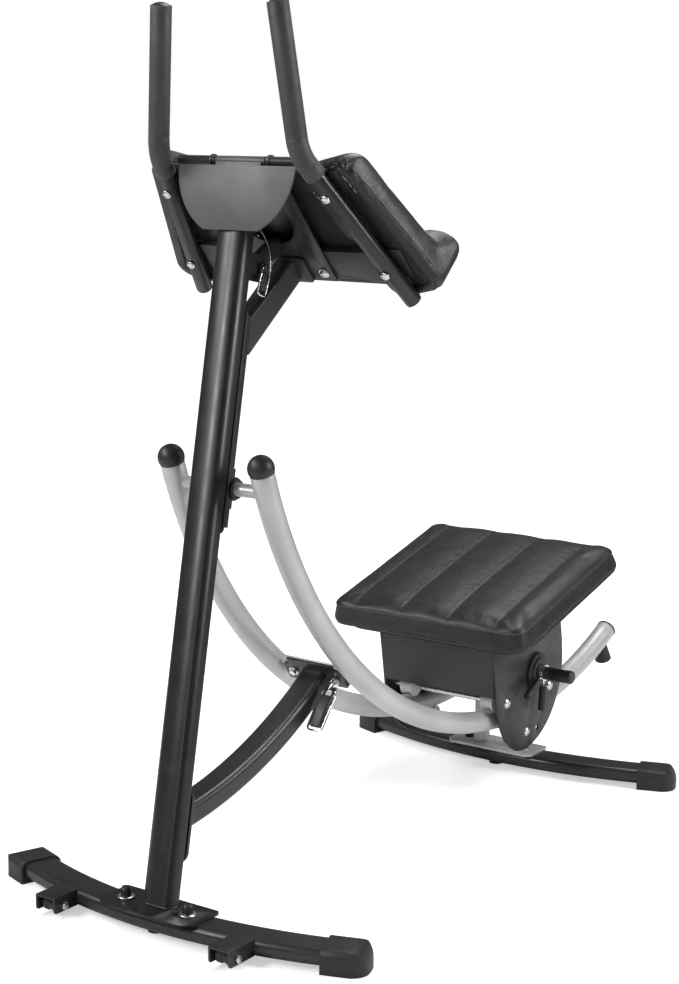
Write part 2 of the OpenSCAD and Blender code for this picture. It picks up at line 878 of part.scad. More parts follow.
// side view of the cushion: slanted round nose, flat rest, upturned elbow stop
module pad_profile() {
  nose_r = 18;
  stop_r = 18;
  stop_l = 67;
  union() {
    polygon([[0, 0], [0, 6], [22.5, 36], [38, pad_t], [60, pad_t], [60, 0]]);
    translate([38, pad_t - nose_r]) circle(r = nose_r);
    translate([40, 0]) square([pad_len - 40, pad_t]);
    translate([pad_len - stop_l, 10]) square([stop_l, lip_h - stop_r - 10]);
    translate([pad_len - stop_l + stop_r, 10]) square([stop_l - 2 * stop_r, lip_h - 10]);
    for (y = [pad_len - stop_l + stop_r, pad_len - stop_r]) translate([y, lip_h - stop_r]) circle(r = stop_r);
  }
}

module pad_shape() {
  pad_frame() translate([0, 0, board_t]) intersection() {
    yz(-pad_w / 2, pad_w / 2) pad_profile();
    translate([0, pad_len / 2, -1]) linear_extrude(height = 120) rrect(pad_w, pad_len, 26);
  }
}

module pad_right() {
  color([0.06, 0.06, 0.06]) difference() {
    pad_shape();
    arm_frame() for (p = [[195.5, 207], [156.3, 45]]) translate([p[0], p[1], -10]) cylinder(r = 4.1, h = 40);
  }
}

module pad_left() {
  color([0.06, 0.06, 0.06]) mirror([1, 0, 0]) difference() {
    pad_shape();
    arm_frame() for (p = [[195.5, 207], [156.3, 45]]) translate([p[0], p[1], -10]) cylinder(r = 4.1, h = 40);
  }
}

// ---- lock pins ---------------------------------------------------------

module lower_pin() {
  color([0.8, 0.8, 0.82]) lock_frame() translate([45, 0, 0]) union() {
    translate([0, 0, -37]) cylinder(r = 4, h = 43);
    translate([0, 0, -24]) cylinder(r = 9, h = 13);
  }
}

// wire loop with a plastic sleeve hanging from the pin head
module pin_handle(sleeve_l) {
  union() {
    for (s = [-1, 1]) translate([s * 8, 0, 0]) xyz_leg(sleeve_l);
    translate([-8, -sleeve_l - 14, 0]) xcyl(2, 0, 16);
    translate([0, -14, 0]) rotate([90, 0, 0]) linear_extrude(height = sleeve_l) rrect(26, 13, 6);
  }
}

module xyz_leg(sleeve_l) {
  rotate([90, 0, 0]) translate([0, 0, -4]) cylinder(r = 2, h = sleeve_l + 18);
}

module lower_pin_handle() {
  color([0.06, 0.06, 0.06]) lock_frame() translate([45, 0, -34]) difference() {
    union() {
      rotate([105, 0, 0]) pin_handle(56);
      translate([-10, -4, -2]) cube([20, 8, 4]);
    }
    cylinder(r = 4.02, h = 20, center = true);
  }
}

module upper_pin() {
  color([0.8, 0.8, 0.82]) translate([0, 239, 1030]) union() {
    xcyl(5, -26, 32);
    xcyl(8.5, 24, 29);
  }
}

module upper_pin_handle() {
  color([0.06, 0.06, 0.06]) translate([0, 239, 1030]) rotate([-20, 0, 0]) difference() {
    union() {
      translate([35, 0, 0]) rotate([90, 0, 90]) translate([0, 0, -6])
        linear_extrude(height = 7) rrect(17, 17, 8);
      for (s = [-1, 1]) translate([32.5, s * 6, -36]) cylinder(r = 1.6, h = 36);
      translate([32.5, 0, -36]) linear_extrude(height = 26) rrect(7, 18, 3);
    }
    xcyl(5.02, 20, 32.02);
  }
}

upright();
pivot_channel();
pin_bracket();
upper_brace();
lower_brace();
head_bracket();
upright_plug();
front_foot();
front_boots();
wheel_brackets();
wheel_axles();
wheel_left();
wheel_right();
base_bolts();
base_bolt_caps();
pivot_bushes();
lock_stud();
rail_left();
rail_right();
rail_caps();
pivot_tube();
lock_bar();
rear_support();
rear_foot();
rear_boots();
rear_bolts();
rear_bolt_caps();
rail_bumpers();
carriage_box();
side_plates();
front_axle();
rear_axle();
lower_axle();
front_rollers();
rear_rollers();
lower_rollers();
weight_posts();
post_flanges();
collar_left();
collar_right();
swivel_washer();
swivel_bolt();
swivel_plate();
seat_board();
seat_pad();
arm_yoke();
arm_band();
hinge_rod();
handle_left();
handle_right();
foam_sleeves();
handle_plugs();
arm_bolts();
pad_boards();
pad_left();
pad_right();
lower_pin();
lower_pin_handle();
upper_pin();
upper_pin_handle();
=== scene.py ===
"""Looks of the ab crunch machine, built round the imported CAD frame. Metres, row frame."""

import json
import math
import random

import bmesh
import bpy
import numpy as np
from mathutils import Matrix, Vector, noise
from mathutils.bvhtree import BVHTree


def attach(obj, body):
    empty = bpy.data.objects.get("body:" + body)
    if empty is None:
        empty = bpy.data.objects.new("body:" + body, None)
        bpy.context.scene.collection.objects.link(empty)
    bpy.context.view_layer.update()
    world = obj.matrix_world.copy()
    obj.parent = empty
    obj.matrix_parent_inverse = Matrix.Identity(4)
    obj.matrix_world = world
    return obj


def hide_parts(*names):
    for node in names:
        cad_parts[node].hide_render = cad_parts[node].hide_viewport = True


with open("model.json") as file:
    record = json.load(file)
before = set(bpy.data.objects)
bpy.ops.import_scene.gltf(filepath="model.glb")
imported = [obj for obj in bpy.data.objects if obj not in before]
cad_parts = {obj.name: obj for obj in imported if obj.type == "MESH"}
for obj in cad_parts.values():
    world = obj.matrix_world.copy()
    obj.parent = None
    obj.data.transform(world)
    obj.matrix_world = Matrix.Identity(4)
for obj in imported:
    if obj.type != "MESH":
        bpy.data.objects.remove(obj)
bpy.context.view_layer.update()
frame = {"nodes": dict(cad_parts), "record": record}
NODES = frame["nodes"]

# ---- places taken from the CAD -----------------------------------------------------
SEAT_AT = Vector((0, 0.956, 0.411))
SEAT_TILT = math.radians(15)
SEAT_HW, SEAT_HL, SEAT_T = 0.214, 0.200, 0.050
HINGE_AT = Vector((0, 0.217, 1.198))
ARM_SLOPE = math.radians(47.7)
PAD_X, PAD_A, BOARD_C = 0.138, 0.013, -0.002
PAD_SPLAY = math.radians(17)
PAD_LEN, PAD_W, BOARD_T = 0.280, 0.112, 0.011
POST_Y, POST_Z = 0.986, 0.226
LEAN = math.radians(10.4)

SEAT_M = Matrix.Translation(SEAT_AT) @ Matrix.Rotation(SEAT_TILT, 4, "X")
ARM_M = Matrix.Translation(HINGE_AT) @ Matrix.Rotation(-ARM_SLOPE, 4, "X")
PAD_M = ARM_M @ Matrix.Translation(Vector((PAD_X, PAD_A, BOARD_C))) @ Matrix.Rotation(-PAD_SPLAY, 4, "Z")
CENTRE_HW, CENTRE_Y0, CENTRE_Y1 = 0.0605, 0.070, 0.186
LOCK_M = Matrix.Translation(Vector((0, 0.4356, 0.329))) @ Matrix.Rotation(math.radians(-53), 4, "X")
UPPER_PIN = Vector((0, 0.239, 1.030))
MIRROR_X = Matrix.Scale(-1, 4, Vector((1, 0, 0)))


# ---- node materials ----------------------------------------------------------------
class Mat:
    """A small builder for procedural materials on object coordinates, in metres."""

    def __init__(self, name):
        self.mat = bpy.data.materials.new(name)
        self.mat.use_nodes = True
        self.nt = self.mat.node_tree
        self.nt.nodes.clear()
        self.out = self.nt.nodes.new("ShaderNodeOutputMaterial")
        self.bsdf = self.nt.nodes.new("ShaderNodeBsdfPrincipled")
        self.nt.links.new(self.bsdf.outputs[0], self.out.inputs[0])
        self.co = self.nt.nodes.new("ShaderNodeTexCoord").outputs["Object"]

    def link(self, a, b):
        self.nt.links.new(a, b)

    def put(self, name, value):
        socket = self.bsdf.inputs[name]
        if hasattr(value, "links"):
            self.nt.links.new(value, socket)
        elif isinstance(value, (tuple, list)) and len(value) == 3:
            socket.default_value = (*value, 1)
        else:
            socket.default_value = value

    def stretch(self, scale, rotation=(0, 0, 0)):
        n = self.nt.nodes.new("ShaderNodeMapping")
        n.inputs["Scale"].default_value = scale
        n.inputs["Rotation"].default_value = rotation
        self.link(self.co, n.inputs["Vector"])
        return n.outputs[0]

    def noise(self, scale, detail=2.0, rough=0.5, warp=0.0, co=None):
        n = self.nt.nodes.new("ShaderNodeTexNoise")
        n.inputs["Scale"].default_value = scale
        n.inputs["Detail"].default_value = detail
        n.inputs["Roughness"].default_value = rough
        n.inputs["Distortion"].default_value = warp
        self.link(co or self.co, n.inputs["Vector"])
        return n.outputs["Fac"]

    def cells(self, scale, feature="F1", smooth=None, co=None):
        n = self.nt.nodes.new("ShaderNodeTexVoronoi")
        n.feature = feature
        n.inputs["Scale"].default_value = scale
        if smooth is not None and "Smoothness" in n.inputs:
            n.inputs["Smoothness"].default_value = smooth
        self.link(co or self.co, n.inputs["Vector"])
        return n.outputs["Distance"]

    def wave(self, scale, warp, direction):
        n = self.nt.nodes.new("ShaderNodeTexWave")
        n.bands_direction = direction
        n.inputs["Scale"].default_value = scale
        n.inputs["Distortion"].default_value = warp
        n.inputs["Detail"].default_value = 3
        self.link(self.co, n.inputs["Vector"])
        return n.outputs["Fac"]

    def calc(self, op, a, b):
        n = self.nt.nodes.new("ShaderNodeMath")
        n.operation = op
        for i, v in enumerate((a, b)):
            if hasattr(v, "links"):
                self.link(v, n.inputs[i])
            else:
                n.inputs[i].default_value = v
        return n.outputs[0]

    def span(self, value, lo, hi, to_lo, to_hi):
        n = self.nt.nodes.new("ShaderNodeMapRange")
        n.inputs["From Min"].default_value = lo
        n.inputs["From Max"].default_value = hi
        n.inputs["To Min"].default_value = to_lo
        n.inputs["To Max"].default_value = to_hi
        self.link(value, n.inputs["Value"])
        return n.outputs["Result"]

    def blend(self, fac, a, b):
        n = self.nt.nodes.new("ShaderNodeMix")
        n.data_type = "RGBA"
        for i, v in ((0, fac), (6, a), (7, b)):
            if hasattr(v, "links"):
                self.link(v, n.inputs[i])
            elif i == 0:
                n.inputs[i].default_value = v
            else:
                n.inputs[i].default_value = (*v, 1)
        return n.outputs[2]

    def edge(self, radius):
        """1 on sharp edges, 0 on flat areas."""
        bev = self.nt.nodes.new("ShaderNodeBevel")
        bev.samples = 3
        bev.inputs["Radius"].default_value = radius
        geo = self.nt.nodes.new("ShaderNodeNewGeometry")
        dot = self.nt.nodes.new("ShaderNodeVectorMath")
        dot.operation = "DOT_PRODUCT"
        self.link(bev.outputs[0], dot.inputs[0])
        self.link(geo.outputs["Normal"], dot.inputs[1])
        return self.span(dot.outputs["Value"], 0.93, 0.72, 0.0, 1.0)

    def bump(self, height, distance, normal=None):
        """Relief of the given height in metres, on top of an earlier one when normal is passed."""
        n = self.nt.nodes.new("ShaderNodeBump")
        n.inputs["Strength"].default_value = 1.0
        n.inputs["Distance"].default_value = distance
        self.link(height, n.inputs["Height"])
        if normal is not None:
            self.link(normal, n.inputs["Normal"])
        self.link(n.outputs[0], self.bsdf.inputs["Normal"])
        return n.outputs[0]


def tint(colour, factor):
    return tuple(min(1.0, c * factor) for c in colour)


def powder_coat(name, base, rough, edge_light=1.9, metal=0.0, fleck=0.0, crown=0.0):
    """Sprayed paint; crown gives a tube face that is centred on x = 0 a slight outward curve."""
    m = Mat(name)
    peel = 0.00003
    broad = m.span(m.noise(9, 3), 0.3, 0.7, 0.0, 1.0)
    colour = m.blend(broad, tint(base, 0.9), tint(base, 1.1))
    if fleck:
        grains = m.span(m.noise(2600, 1), 0.52, 0.72, 0.0, fleck)
        colour = m.blend(grains, colour, tint(base, 1.5))
    worn = m.calc("MULTIPLY", m.edge(0.0012), m.span(m.noise(60, 4), 0.42, 0.62, 0.15, 0.7))
    colour = m.blend(worn, colour, tint(base, edge_light))
    m.put("Base Color", colour)
    m.put("Metallic", metal)
    smudge = m.span(m.noise(22, 5, 0.6), 0.35, 0.7, rough - 0.04, rough + 0.07)
    m.put("Roughness", smudge)
    m.put("Specular IOR Level", 0.5)
    curve = None
    if crown:
        axes = m.nt.nodes.new("ShaderNodeSeparateXYZ")
        m.link(m.co, axes.inputs[0])
        square = m.calc("MULTIPLY", axes.outputs["X"], axes.outputs["X"])
        curve = m.bump(m.calc("MULTIPLY", square, -crown), 1.0)
    orange = m.bump(m.noise(420, 2), peel * 2.2, normal=curve)
    m.bump(m.noise(1500, 1), peel, normal=orange)
    return m.mat


def plastic(name, base, rough, grain=0.00003, scale=2200):
    """Moulded plastic with a fine grain and faint scuffs."""
    m = Mat(name)
    m.put("Base Color", m.blend(m.span(m.noise(14, 3), 0.3, 0.7, 0, 1), tint(base, 0.85), tint(base, 1.2)))
    scuff = m.span(m.noise(90, 6, 0.7, co=m.stretch((1, 1, 0.2))), 0.5, 0.75, 0.0, 0.12)
    m.put("Roughness", m.calc("ADD", scuff, rough))
    m.bump(m.cells(scale, smooth=0.4), grain)
    return m.mat


def rubber(name, base, rough):
    """Dull rubber with a little dust."""
    m = Mat(name)
    dust = m.span(m.noise(40, 6, 0.65), 0.5, 0.75, 0.0, 0.35)
    m.put("Base Color", m.blend(dust, base, tint(base, 1.9)))
    m.put("Roughness", m.span(m.noise(60, 4), 0.3, 0.7, rough - 0.06, rough + 0.08))
    m.put("Specular IOR Level", 0.4)
    low = m.bump(m.noise(120, 3), 0.00008)
    m.bump(m.cells(1600, smooth=0.5), 0.00003, normal=low)
    return m.mat


def bare_metal(name, base, rough):
    """Plated or polished metal with drawn lines along z."""
    m = Mat(name)
    stain = m.span(m.noise(140, 4), 0.35, 0.7, 0, 1)
    m.put("Base Color", m.blend(stain, base, tint(base, 0.82)))
    m.put("Metallic", 1.0)
    lines = m.noise(900, 2, co=m.stretch((1, 1, 0.05)))
    m.put("Roughness", m.calc("ADD", m.span(lines, 0.3, 0.7, -0.05, 0.06), rough))
    m.bump(lines, 0.00001)
    return m.mat


def leather(name, base, rough):
    """Black vinyl leather: pebbled grain, pores, painted shade in the grain creases, slow tone changes and
    a soft sheen.
    """
    m = Mat(name)
    tone = m.span(m.noise(16, 4, 0.6), 0.3, 0.7, 0, 1)
    grain = m.cells(620, "SMOOTH_F1", smooth=0.35)
    crease = m.cells(260, "DISTANCE_TO_EDGE", co=m.stretch((1, 0.8, 1)))
    # painted shade: the colour darkens towards the grain creases, where shade would fall
    crease_shade = m.span(crease, 0.0, 0.12, 0.35, 0.0)
    colour = m.blend(tone, tint(base, 0.8), tint(base, 1.3))
    colour = m.blend(crease_shade, colour, tint(base, 0.45))
    rub = m.calc("MULTIPLY", m.edge(0.004), m.span(m.noise(45, 5), 0.4, 0.65, 0.0, 0.5))
    m.put("Base Color", m.blend(rub, colour, tint(base, 2.6)))
    m.put("Roughness", m.span(m.noise(38, 6, 0.62), 0.3, 0.72, rough - 0.07, rough + 0.10))
    m.put("Specular IOR Level", 0.55)
    m.put("Sheen Weight", 0.04)
    m.put("Sheen Roughness", 0.45)
    soft = m.bump(m.noise(30, 4, 0.5, 0.4), 0.0003)
    folds = m.bump(m.noise(150, 4, 0.6, 0.8, co=m.stretch((1.0, 0.35, 1.0))), 0.00016, normal=soft)
    pores = m.bump(m.span(crease, 0.0, 0.22, 0.0, 1.0), 0.00010, normal=folds)
    m.bump(grain, 0.00016, normal=pores)
    return m.mat


def foam(name, base):
    """Closed-cell foam of the hand grips."""
    m = Mat(name)
    patch = m.span(m.noise(30, 4), 0.35, 0.7, 0, 1)
    m.put("Base Color", m.blend(patch, tint(base, 0.85), tint(base, 1.2)))
    m.put("Roughness", m.span(m.noise(70, 3), 0.3, 0.7, 0.46, 0.60))
    m.put("Specular IOR Level", 0.5)
    m.put("Sheen Weight", 0.08)
    low = m.bump(m.noise(90, 3), 0.0003)
    m.bump(m.cells(1500, smooth=0.6), 0.00012, normal=low)
    return m.mat


def backing_cloth(name, base):
    """Thin black dust cover with a fine woven look."""
    m = Mat(name)
    weave = m.calc("MULTIPLY", m.wave(420, 0.6, "X"), m.wave(420, 0.6, "Y"))
    m.put("Base Color", m.blend(weave, tint(base, 0.7), tint(base, 1.6)))
    m.put("Roughness", 0.85)
    m.bump(weave, 0.00015)
    return m.mat


BLACK_PAINT = powder_coat("black_powder_coat", (0.021, 0.0205, 0.0205), 0.32)
GREY_PAINT = powder_coat("charcoal_powder_coat", (0.088, 0.088, 0.088), 0.44, edge_light=1.4)
PLATE_PAINT = powder_coat("plate_powder_coat", (0.024, 0.024, 0.025), 0.40, edge_light=1.6)
SILVER_PAINT = powder_coat(
    "silver_powder_coat", (0.55, 0.555, 0.56), 0.38, edge_light=1.1, metal=0.35, fleck=0.25)
ZINC = bare_metal("bright_zinc", (0.80, 0.81, 0.83), 0.26)
CHROME = bare_metal("polished_wire", (0.86, 0.87, 0.89), 0.10)
BLACK_PLASTIC = plastic("moulded_black_plastic", (0.018, 0.018, 0.018), 0.42)
NYLON = plastic("roller_nylon", (0.66, 0.66, 0.63), 0.45, 0.00002, 900)
BLACK_RUBBER = rubber("boot_rubber", (0.020, 0.020, 0.020), 0.48)
LEATHER = leather("black_leather", (0.0095, 0.0088, 0.0088), 0.42)
THREAD = plastic("black_thread", (0.02, 0.02, 0.02), 0.75, 0.00008, 3000)
FOAM = foam("grip_foam", (0.045, 0.044, 0.044))
CLOTH = backing_cloth("board_cloth", (0.012, 0.012, 0.012))
SLOT_MATERIAL = {
    "frame_black": BLACK_PAINT, "plate_grey": PLATE_PAINT, "rail_silver": SILVER_PAINT, "zinc": ZINC,
    "spring_chrome": CHROME, "black_plastic": BLACK_PLASTIC, "black_rubber": BLACK_RUBBER,
    "roller_white": NYLON, "plywood": CLOTH, "board_black": CLOTH, "black_leather": LEATHER,
    "grip_foam": FOAM,
}
TUBE_PAINT = powder_coat("upright_powder_coat", (0.015, 0.0145, 0.0145), 0.33, crown=9.0)
NODE_MATERIAL = {"head_bracket": GREY_PAINT, "upright": TUBE_PAINT}


# ---- carried-over CAD nodes --------------------------------------------------------
SHARP_ANGLE = math.radians(34)


def dress_cad(node, slot_name):
    """Material, welded corners, a small rounded edge and smooth shading; the mesh itself stays."""
    o = NODES[node]
    o.data.materials.clear()
    o.data.materials.append(NODE_MATERIAL.get(node, SLOT_MATERIAL[slot_name]))
    weld = o.modifiers.new("weld", "WELD")
    weld.merge_threshold = 0.00002
    bevel = o.modifiers.new("edge", "BEVEL")
    bevel.width = 0.0007
    bevel.segments = 2
    bevel.limit_method = "ANGLE"
    bevel.angle_limit = math.radians(32)
    bevel.harden_normals = False
    bevel.use_clamp_overlap = True
    smooth_by_angle(o)


def smooth_by_angle(o):
    """Geometry nodes that smooth faces and keep edges above SHARP_ANGLE sharp."""
    tree = bpy.data.node_groups.get("smooth_angle")
    if tree is None:
        tree = bpy.data.node_groups.new("smooth_angle", "GeometryNodeTree")
        tree.interface.new_socket("Geometry", in_out="INPUT", socket_type="NodeSocketGeometry")
        tree.interface.new_socket("Geometry", in_out="OUTPUT", socket_type="NodeSocketGeometry")
        n_in = tree.nodes.new("NodeGroupInput")
        n_out = tree.nodes.new("NodeGroupOutput")
        angle = tree.nodes.new("GeometryNodeInputMeshEdgeAngle")
        test = tree.nodes.new("FunctionNodeCompare")
        test.operation = "LESS_EQUAL"
        test.inputs[1].default_value = SHARP_ANGLE
        tree.links.new(angle.outputs["Unsigned Angle"], test.inputs[0])
        faces = tree.nodes.new("GeometryNodeSetShadeSmooth")
        faces.domain = "FACE"
        edges = tree.nodes.new("GeometryNodeSetShadeSmooth")
        edges.domain = "EDGE"
        tree.links.new(n_in.outputs[0], faces.inputs[0])
        tree.links.new(faces.outputs[0], edges.inputs[0])
        tree.links.new(test.outputs[0], edges.inputs["Shade Smooth"])
        tree.links.new(edges.outputs[0], n_out.inputs[0])
    o.modifiers.new("smooth", "NODES").node_group = tree


for entry in frame["record"]["subparts"]:
    dress_cad(entry["node"], entry["material_slot"])


# ---- helpers for new pieces --------------------------------------------------------
def new_object(name, mesh, material, body, replaces=()):
    """A visible piece that moves with a body and may stand in for CAD nodes."""
    o = bpy.data.objects.new(name, mesh)
    bpy.context.scene.collection.objects.link(o)
    mesh.materials.clear()
    mesh.materials.append(material)
    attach(o, body)
    if replaces:
        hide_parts(*replaces)


def mesh_of(bm, name, smooth=True):
    """Turns the bmesh into a mesh with its faces outward, and frees it."""
    me = bpy.data.meshes.new(name)
    bmesh.ops.recalc_face_normals(bm, faces=bm.faces)
    bm.to_mesh(me)
    bm.free()
    if smooth:
        me.polygons.foreach_set("use_smooth", [True] * len(me.polygons))
    return me


def sweep(bm, points, radius, sides, closed=False, radii=None):
    """A round tube along points; parallel transport keeps it from twisting."""
    pts = [Vector(p) for p in points]
    n = len(pts)
    tangents = []
    for i in range(n):
        a = pts[i - 1] if (i > 0 or closed) else pts[i]
        b = pts[(i + 1) % n] if (i < n - 1 or closed) else pts[i]
        tangents.append((b - a).normalized())
    side = tangents[0].orthogonal().normalized()
    rings = []
    for i in range(n):
        side = (side - tangents[i] * side.dot(tangents[i])).normalized()
        up = tangents[i].cross(side)
        r = radii[i] if radii else radius
        ring = []
        for k in range(sides):
            a = 2 * math.pi * k / sides
            ring.append(bm.verts.new(pts[i] + side * (r * math.cos(a)) + up * (r * math.sin(a))))
        rings.append(ring)
    last = n if closed else n - 1
    for i in range(last):
        a, b = rings[i], rings[(i + 1) % n]
        skip = 0
        if closed and i == n - 1:
            skip = min(range(sides), key=lambda s: (b[s].co - a[0].co).length)
        for k in range(sides):
            bm.faces.new((a[k], a[(k + 1) % sides], b[(k + 1 + skip) % sides], b[(k + skip) % sides]))
    if not closed:
        bm.faces.new(rings[0][::-1])
        bm.faces.new(rings[-1])


def smooth_path(points, steps):
    """Catmull-Rom through the points, from the first to the last."""
    p = [Vector(q) for q in points]
    n = len(p)
    out = []
    for i in range(n - 1):
        p0 = p[i - 1] if i > 0 else p[i]
        p1, p2 = p[i], p[i + 1]
        p3 = p[i + 2] if i + 2 < n else p2
        for s in range(steps):
            t = s / steps
            out.append(0.5 * ((2 * p1) + (p2 - p0) * t + (2 * p0 - 5 * p1 + 4 * p2 - p3) * t * t
                              + (3 * p1 - p0 - 3 * p2 + p3) * t ** 3))
    out.append(p[-1])
    return out


def rounded_outline(hw, hl, r, count):
    """Points round a rounded rectangle in the xy plane, evenly spaced, with outward normals."""
    straight_x, straight_y = 2 * (hw - r), 2 * (hl - r)
    corner = math.pi * r / 2
    total = 2 * (straight_x + straight_y) + 4 * corner
    out = []
    for i in range(count):
        s = total * i / count
        for quarter in range(4):
            seg = straight_y if quarter % 2 == 0 else straight_x
            cx, cy, nx, ny = ((hw, 0, 1, 0), (0, hl, 0, 1), (-hw, 0, -1, 0), (0, -hl, 0, -1))[quarter]
            tx, ty = -ny, nx
            if s <= seg:
                d = s - seg / 2
                out.append((cx + tx * d, cy + ty * d, nx, ny))
                break
            s -= seg
            if s <= corner:
                a = s / r
                ox = cx + tx * seg / 2 - nx * r
                oy = cy + ty * seg / 2 - ny * r
                vx, vy = nx * math.cos(a) + tx * math.sin(a), ny * math.cos(a) + ty * math.sin(a)
                out.append((ox + vx * r, oy + vy * r, vx, vy))
                break
            s -= corner
    return out


def hang_on(bvh, origin, direction, fallback):
    """First point of the mesh along a ray, or the fallback where the ray misses it."""
    hit = bvh.ray_cast(origin, direction)
    return hit[0] if hit[0] is not None else fallback


# ---- soft goods --------------------------------------------------------------------
CLOTH_PRESSURE = 4.0
CLOTH_FRAMES = 20


def cloth_puff(mesh, name, voxel, cap, hold):
    """Voxel remesh, inflate with cloth pressure, cap the movement, relax and subdivide once.

    hold(co) is true where the cushion is fixed to its board. The result is a new mesh."""
    o = bpy.data.objects.new(name + "_sim", mesh)
    bpy.context.scene.collection.objects.link(o)
    remesh = o.modifiers.new("remesh", "REMESH")
    remesh.mode = "VOXEL"
    remesh.voxel_size = voxel
    dg = bpy.context.evaluated_depsgraph_get()
    base = bpy.data.meshes.new_from_object(o.evaluated_get(dg))
    o.modifiers.clear()
    o.data = base
    start = np.array([v.co for v in base.vertices], float)
    pins = o.vertex_groups.new(name="pins")
    for v in base.vertices:
        if hold(v.co):
            pins.add([v.index], 1.0, "REPLACE")
    cloth = o.modifiers.new("cloth", "CLOTH")
    s = cloth.settings
    s.use_pressure = True
    s.uniform_pressure_force = CLOTH_PRESSURE
    s.effector_weights.gravity = 0
    s.vertex_group_mass = "pins"
    s.tension_stiffness = 12
    s.compression_stiffness = 12
    s.shear_stiffness = 6
    s.bending_stiffness = 1.5
    s.quality = 4
    cloth.collision_settings.use_self_collision = False
    cloth.collision_settings.use_collision = False
    cloth.point_cache.frame_start = 1
    cloth.point_cache.frame_end = CLOTH_FRAMES
    scene = bpy.context.scene
    for f in range(1, CLOTH_FRAMES + 1):
        scene.frame_set(f)
    dg = bpy.context.evaluated_depsgraph_get()
    puffed = bpy.data.meshes.new_from_object(o.evaluated_get(dg))
    end = np.array([v.co for v in puffed.vertices], float)
    scene.frame_set(1)
    o.modifiers.clear()
    move = end - start
    length = np.linalg.norm(move, axis=1, keepdims=True)
    limit = cap * np.tanh(length / cap)
    end = start + move * np.where(length > 1e-9, limit / np.maximum(length, 1e-9), 0)
    base.vertices.foreach_set("co", end.ravel().astype(np.float32))
    bpy.data.meshes.remove(puffed)
    relax = o.modifiers.new("relax", "SMOOTH")
    relax.factor = 0.5
    relax.iterations = 8
    sub = o.modifiers.new("sub", "SUBSURF")
    sub.levels = sub.render_levels = 1
    dg = bpy.context.evaluated_depsgraph_get()
    final = bpy.data.meshes.new_from_object(o.evaluated_get(dg))
    bpy.data.objects.remove(o)
    return final


def reshape(mesh, fn):
    """fn(co array, normal array) -> new co array."""
    mesh.update()
    co = np.empty(len(mesh.vertices) * 3, np.float32)
    no = np.empty(len(mesh.vertices) * 3, np.float32)
    mesh.vertices.foreach_get("co", co)
    mesh.vertices.foreach_get("normal", no)
    out = fn(co.reshape(-1, 3).astype(float), no.reshape(-1, 3).astype(float))
    mesh.vertices.foreach_set("co", out.astype(np.float32).ravel())
    mesh.update()


def fractal(points, scale, octaves, seed):
    """Smooth random field at the points; each seed reads another part of the field."""
    start = Vector((seed * 17.3, seed * 5.1, seed * 9.7))
    return np.array([noise.fractal(Vector(p) * scale + start, 1.0, 2.0, octaves) for p in points])


def heightfield_block(name, hw, y0, y1, top, bottom, corner, edge_r, nx=56, ny=90):
    """Closed block on a rounded plan: top(x, y) and bottom(x, y) heights, edges rounded by edge_r."""
    bm = bmesh.new()
    cy, hl = (y0 + y1) / 2, (y1 - y0) / 2
    cap_rings = 14
    count = 2 * (nx + ny)
    outline = rounded_outline(hw, hl, corner, count)
    turns = [math.pi / 2 * k / 5 for k in range(1, 6)]
    insets = [0.0] + [edge_r * (1 - math.cos(a)) for a in turns]
    drops = [edge_r] + [edge_r * (1 - math.sin(a)) for a in turns]

    def ring_at(shrink, z_of):
        ring = []
        for (x, y, ax, ay) in outline:
            px, py = x - ax * shrink, y - ay * shrink
            ring.append(bm.verts.new((px, cy + py, z_of(px, cy + py))))
        return ring

    low = min(edge_r, 0.006)

    def wall_height(f):
        return lambda x, y: (bottom(x, y) + low) * (1 - f) + (top(x, y) - edge_r) * f

    levels = [ring_at(low * 0.9, bottom)]
    levels.append(ring_at(low * 0.25, lambda x, y: bottom(x, y) + low * 0.3))
    levels.append(ring_at(0.0, lambda x, y: bottom(x, y) + low))
    for k in range(1, 5):
        levels.append(ring_at(0.0, wall_height(k / 5)))
    for inset, drop in zip(insets, drops):
        levels.append(ring_at(inset, lambda x, y, drop=drop: top(x, y) - drop))
    for a, b in zip(levels, levels[1:]):
        for k in range(count):
            bm.faces.new((a[k], a[(k + 1) % count], b[(k + 1) % count], b[k]))

    # caps: the last and the first ring shrink to the centre
    def cap(ring, z_of, flip):
        prev = ring
        pts = [v.co.copy() for v in ring]
        for s in range(1, cap_rings + 1):
            f = 1 - s / (cap_rings + 0.02)
            cur = []
            for p in pts:
                x = p.x * f
                y = cy + (p.y - cy) * f
                cur.append(bm.verts.new((x, y, z_of(x, y))))
            for k in range(count):
                q = (prev[k], prev[(k + 1) % count], cur[(k + 1) % count], cur[k])
                bm.faces.new(q[::-1] if flip else q)
            prev = cur
        bm.faces.new(prev[::-1] if flip else prev)

    cap(levels[-1], top, False)
    cap(levels[0], bottom, True)
    return mesh_of(bm, name, smooth=False)


def stretch_to(mesh, lows, highs):
    """Scales the mesh along x and y to lie between the given corners."""
    co = np.empty(len(mesh.vertices) * 3, np.float32)
    mesh.vertices.foreach_get("co", co)
    co = co.reshape(-1, 3)
    for axis in (0, 1):
        a, b = co[:, axis].min(), co[:, axis].max()
        co[:, axis] = lows[axis] + (co[:, axis] - a) * (highs[axis] - lows[axis]) / (b - a)
    mesh.vertices.foreach_set("co", co.ravel())
    mesh.update()


def tree_of(mesh):
    """Search tree of a mesh, for laying seams and thread on it."""
    points = [v.co.copy() for v in mesh.vertices]
    return BVHTree.FromPolygons(points, [tuple(p.vertices) for p in mesh.polygons])


def relaxed(loop, times):
    """A closed loop of points, evened out."""
    for _ in range(times):
        loop = [(loop[i - 1] + loop[i] * 2 + loop[(i + 1) % len(loop)]) / 4 for i in range(len(loop))]
    return loop


# ---- seat --------------------------------------------------------------------------
CHANNELS = (-0.154, -0.052, 0.052, 0.152)
SEAM_Z = -0.012


